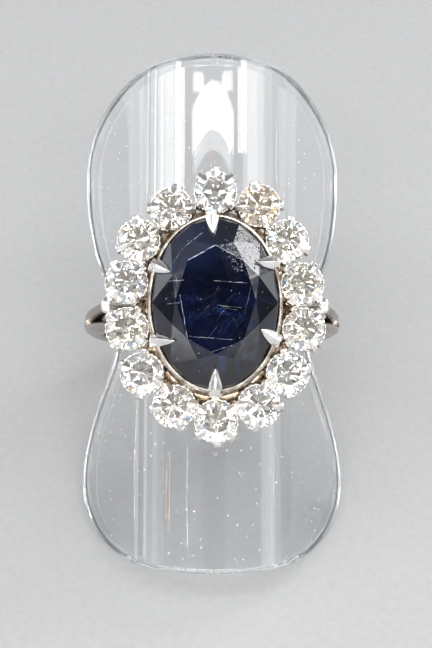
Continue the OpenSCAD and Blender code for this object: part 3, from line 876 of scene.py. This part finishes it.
verts, faces = brilliant(SAPPHIRE_CROWN, SAPPHIRE_PAVILION, SAPPHIRE_GIRDLE, SAPPHIRE_STAR, 128)
placed = [(x * SAPPHIRE_A, y * SAPPHIRE_B, z + GIRDLE_Z) for x, y, z in verts]
piece("sapphire_cut", placed, faces, sapphire_material(), "sapphire", ["sapphire"], smooth=0)

verts, faces = brilliant(DIAMOND_CROWN, DIAMOND_PAVILION, DIAMOND_GIRDLE, DIAMOND_STAR, 96)
for i, (name, mid, turn, _) in enumerate(STONES):
    c, s = DIAMOND_R * math.cos(math.radians(turn)), DIAMOND_R * math.sin(math.radians(turn))
    placed = [(mid.x + x * c - y * s, mid.y + x * s + y * c, z + HALO_Z) for x, y, z in verts]
    piece(f"{name}_cut", placed, faces, diamond_material(i + 1, RNG), "diamond", [name], smooth=0)


# Stand

LOBE_STEPS, FLARE_STEPS = 48, 30
LOBE_START = 1.2  # where a lobe's first row lies, so that it has a length
EDGE_ROUND = 0.32
EDGE_COLUMNS = [0.0, 0.004, 0.009, 0.016, 0.026, 0.04, 0.06]  # shares of a row's half length, from its end
INNER_COLUMNS = 72
SHORT_ROW = 6  # half length up to which a row's ends are part of the round tip
EDGE_TURN = 0.75  # a face whose normal has a smaller share through the sheet belongs to its edge


def half_sheet_rows(flare):
    """Height and half length of the sheet's rows, from one end: a round lobe, then the flare to the waist."""
    rows = []
    for k in range(LOBE_STEPS + 1):
        a = math.radians(LOBE_START + (90 - LOBE_START) * (k / LOBE_STEPS) ** 1.15)
        rows.append((LOBE_RISE * (1 - math.cos(a) ** (2 / LOBE_FULL)),
                     (BEND_HALF + LOBE_RUN) * math.sin(a) ** (2 / LOBE_FULL)))
    flare_h = STAND_H / 2 - WAIST_HALF - LOBE_RISE
    for k in range(1, FLARE_STEPS + 1):
        u = 1 - k / FLARE_STEPS
        share = (1 - math.cos(math.pi * u ** flare)) / 2
        rows.append((LOBE_RISE + flare_h * (1 - u), BEND_HALF + WAIST_RUN + (LOBE_RUN - WAIST_RUN) * share))
    return rows


def sheet_columns():
    """Places along each row, from -1 at its left end to 1 at its right one, closer together at the ends."""
    left = [-1 + e for e in EDGE_COLUMNS]
    flat = 1 - EDGE_COLUMNS[-1]
    middle = [-flat + 2 * flat * k / INNER_COLUMNS for k in range(1, INNER_COLUMNS)]
    return left + middle + [-c for c in reversed(left)]


def sheet_point(s, z, off):
    """A point of the bent sheet, s along it from its middle, z up it and off in from its outer face."""
    t = min(abs(s) / BEND_R, math.radians(STAND_BEND))
    past = max(abs(s) - BEND_HALF, 0)
    side = -1 if s < 0 else 1
    x = (BEND_R - off) * math.sin(t) + past * math.cos(t)
    y = past * math.sin(t) - (BEND_R - off) * math.cos(t)
    return side * x, y, z


def sheet():
    """The bent sheet with rounded edges: its outer and inner faces and the edge between them."""
    rows = half_sheet_rows(LOWER_FLARE)
    rows += [(STAND_H - z, h) for z, h in reversed(half_sheet_rows(UPPER_FLARE))]
    columns = sheet_columns()
    rim = np.array([(side * h, z) for side in (-1, 1) for z, h in rows])
    outer, inner = [], []
    for z, h in rows:
        for c in columns:
            s = c * h
            to_rim = math.sqrt(((rim - (s, z)) ** 2).sum(1).min())
            if abs(c) > 0.9 and h > SHORT_ROW:
                to_rim = min(to_rim, (1 - abs(c)) * h)
            inside = max(EDGE_ROUND - to_rim, 0)
            gone = EDGE_ROUND - math.sqrt(EDGE_ROUND ** 2 - inside ** 2)
            outer.append(sheet_point(s, z, gone))
            inner.append(sheet_point(s, z, STAND_T - gone))
    n, m = len(columns), len(rows)
    base = n * m
    faces = []
    for j in range(m - 1):
        for k in range(n - 1):
            p = j * n + k
            faces.append((p, p + 1, p + n + 1, p + n))
            faces.append((base + p, base + p + n, base + p + n + 1, base + p + 1))
    for j in range(m - 1):
        for k in (0, n - 1):
            p = j * n + k
            faces.append((p, p + n, base + p + n, base + p))
    for k in range(n - 1):
        for j in (0, m - 1):
            p = j * n + k
            faces.append((p, p + 1, base + p + 1, base + p))
    return outer + inner, faces


def mark_sawn_edge(obj):
    """Gives the sheet's edge all round its own material."""
    obj.data.materials.append(ACRYLIC_EDGE)
    most = math.radians(STAND_BEND)
    for face in obj.data.polygons:
        c = STAND_INV @ face.center
        n = (STAND_INV.to_3x3() @ face.normal).normalized()
        t = max(-most, min(most, math.atan2(c.x, -c.y)))
        if abs(n.x * math.sin(t) - n.y * math.cos(t)) < EDGE_TURN:
            face.material_index = 1


stand = piece("stand_sheet", *sheet(), ACRYLIC, "clear_acrylic", ["stand"], where=STAND, smooth=50)
mark_sawn_edge(stand)


# Floor, room, lights and camera

FLOOR_HALF = 1.5  # metres
floor_mesh = bpy.data.meshes.new("floor")
floor_mesh.from_pydata([(x * FLOOR_HALF, y * FLOOR_HALF, 0) for x, y in ((-1, -1), (1, -1), (1, 1), (-1, 1))],
                       [], [(0, 1, 2, 3)])
floor = add_object("floor", floor_mesh)
floor_mesh.materials.append(floor_material())

ROOM_COLOR = (0.93, 0.96, 1.0, 1)
GAPS = [
    # turn, rise, angle within which it is darkest, angle at which it ends, share of the light left in it
    (1.2, 5.4, 9, 15, 0.05),
    (85.5, 7.7, 5, 10, 0.15),
    (-83.2, 7.7, 5, 10, 0.15),
    (0, 90, 30, 48, 0.5),
    (-89, -22, 14, 28, 0.2),
    (91, -22, 14, 28, 0.2),
]


def room():
    """An even pale room, brighter low down than overhead. It is dimmer above the sheet's upper end, and dark
    where the sapphire's table, its two side facets and the two facets below them look."""
    world = bpy.data.worlds.new("studio")
    bpy.context.scene.world = world
    world.use_nodes = True
    tree = world.node_tree
    direction = add_node(tree, "ShaderNodeTexCoord").outputs["Generated"]
    height = add_node(tree, "ShaderNodeSeparateXYZ", {0: direction}).outputs["Z"]
    strength = add_node(tree, "ShaderNodeMapRange", {0: height, 1: -0.05, 2: 0.5, 3: 1.2, 4: 0.55}).outputs[0]
    for turn, rise, inner, outer, least in GAPS:
        near = add_node(tree, "ShaderNodeVectorMath", {0: direction, 1: tuple(stand_direction(turn, rise))},
                        operation="DOT_PRODUCT").outputs["Value"]
        fade = {0: near, 1: math.cos(math.radians(outer)), 2: math.cos(math.radians(inner)), 3: 1.0, 4: least}
        shade = add_node(tree, "ShaderNodeMapRange", fade).outputs[0]
        strength = add_node(tree, "ShaderNodeMath", {0: strength, 1: shade}, operation="MULTIPLY").outputs[0]
    back = next(n for n in tree.nodes if n.type == "BACKGROUND")
    back.inputs[0].default_value = ROOM_COLOR
    tree.links.new(strength, back.inputs[1])


room()


def look_at(obj, point, turn, rise, distance):
    """Puts a light or the camera at a distance from a point, in metres, and turns it to face that point."""
    out = stand_direction(turn, rise)
    across = stand_direction(turn + 90, 0)
    obj.location = point + distance * out
    obj.rotation_euler = Matrix((across, out.cross(across), out)).transposed().to_euler()


LIGHT_AIM = HEAD @ Vector((0, 0, GIRDLE_Z - 1.5))
LIGHT_DISTANCE = 0.45
LIGHTS = [
    # name, turn, rise, size in degrees, radiance, color
    ("front_bar", 0, -10, (52, 12), 7.5, (1, 0.985, 0.96)),
    ("front_low", 0, -39, (80, 18), 3.0, (1, 0.99, 0.97)),
    ("side_front_left", -49, -11, (24, 16), 3.6, (1, 0.99, 0.97)),
    ("side_front_right", 49, -11, (24, 16), 3.6, (1, 0.99, 0.97)),
    ("middle_left", -26, 11.5, (34, 5), 4.5, (1, 0.985, 0.96)),
    ("middle_right", 26, 11.5, (34, 5), 4.5, (1, 0.985, 0.96)),
    ("upper_patch", 0, 19.7, (44, 2.2), 8, (1, 1, 1)),
    ("upper_patch_rim", 0, 19.1, (42, 3.0), 3, (1, 1, 1)),
    ("patch_corner_left", -16.5, 20.75, (11, 0.9), 7, (1, 1, 1)),
    ("patch_corner_right", 16.5, 20.75, (11, 0.9), 7, (1, 1, 1)),
    ("veil_upper_left", -56.5, 19.5, (29, 8), 3.0, (1, 1, 1)),
    ("veil_upper_left_core", -52, 19.5, (16, 8), 1.6, (1, 1, 1)),
    ("veil_upper_right", 53, 19.5, (30, 8), 1.6, (1, 1, 1)),
    ("veil_upper_right_core", 48, 19.5, (18, 8), 2.4, (1, 1, 1)),
    ("line_far_left", -76, 19.5, (1.6, 8), 5, (1, 1, 1)),
    ("line_near_left", -66, 19.5, (1.2, 8), 6, (1, 1, 1)),
    ("strip_upper_left", -38.5, 19.5, (6, 8), 11, (1, 1, 1)),
    ("strip_upper_right", 34.5, 20.5, (6, 6), 11, (1, 1, 1)),
    ("strip_low_left", -88, 2, (5, 15), 3, (1, 1, 1)),
    ("strip_low_left_wide", -69, 2, (16, 15), 1.2, (0.96, 0.98, 1)),
    ("strip_low_right", 66, 2, (8, 15), 1.6, (1, 1, 1)),
    ("strip_low_right_wide", 68, 2, (18, 15), 1.3, (0.96, 0.98, 1)),
    ("side_upper_left", -97, 25, (28, 28), 1.0, (0.97, 0.97, 1)),
    ("side_upper_right", 100, 22, (22, 22), 0.9, (0.95, 0.97, 1)),
    ("key_behind_right", 74, 41, (18, 14), 8.5, (1, 1, 1)),
    ("star_upper_right", 15, 28.7, (8, 7), 5.0, (0.93, 0.95, 1)),
    ("key_above_right", 91, 53, (12, 10), 6, (1, 1, 1)),
    ("low_left", -68, -28, (26, 16), 2.9, (0.95, 0.97, 1)),
    ("low_right", 70, -28, (26, 16), 3.0, (0.95, 0.97, 1)),
]


def soft_light(name, turn, rise, size, radiance, color):
    """A soft rectangular light that faces the ring."""
    data = bpy.data.lights.new(name, "AREA")
    data.shape = "RECTANGLE"
    data.size, data.size_y = (2 * LIGHT_DISTANCE * math.tan(math.radians(w / 2)) for w in size)
    data.energy = radiance * math.pi * data.size * data.size_y
    data.color = color
    look_at(add_object(name, data), LIGHT_AIM, turn, rise, LIGHT_DISTANCE)


for light in LIGHTS:
    soft_light(*light)

CAMERA_AIM = STAND @ Vector((0.05, -13.4, RING_Z - 2.19))
CAMERA_DISTANCE = 0.115
CAMERA_TURN, CAMERA_RISE = -1.2, -9.71
SENSOR_W, PICTURE_W, FOCAL_PIXELS = 36, 432, 1587  # the last two in pixels
camera_data = bpy.data.cameras.new("camera")
camera_data.sensor_fit = "HORIZONTAL"
camera_data.sensor_width = SENSOR_W
camera_data.lens = SENSOR_W * FOCAL_PIXELS / PICTURE_W
camera_data.clip_start, camera_data.clip_end = 0.005, 10
camera = add_object("camera", camera_data)
look_at(camera, CAMERA_AIM, CAMERA_TURN, CAMERA_RISE, CAMERA_DISTANCE)

scene = bpy.context.scene
scene.camera = camera
scene.view_settings.view_transform = "Standard"
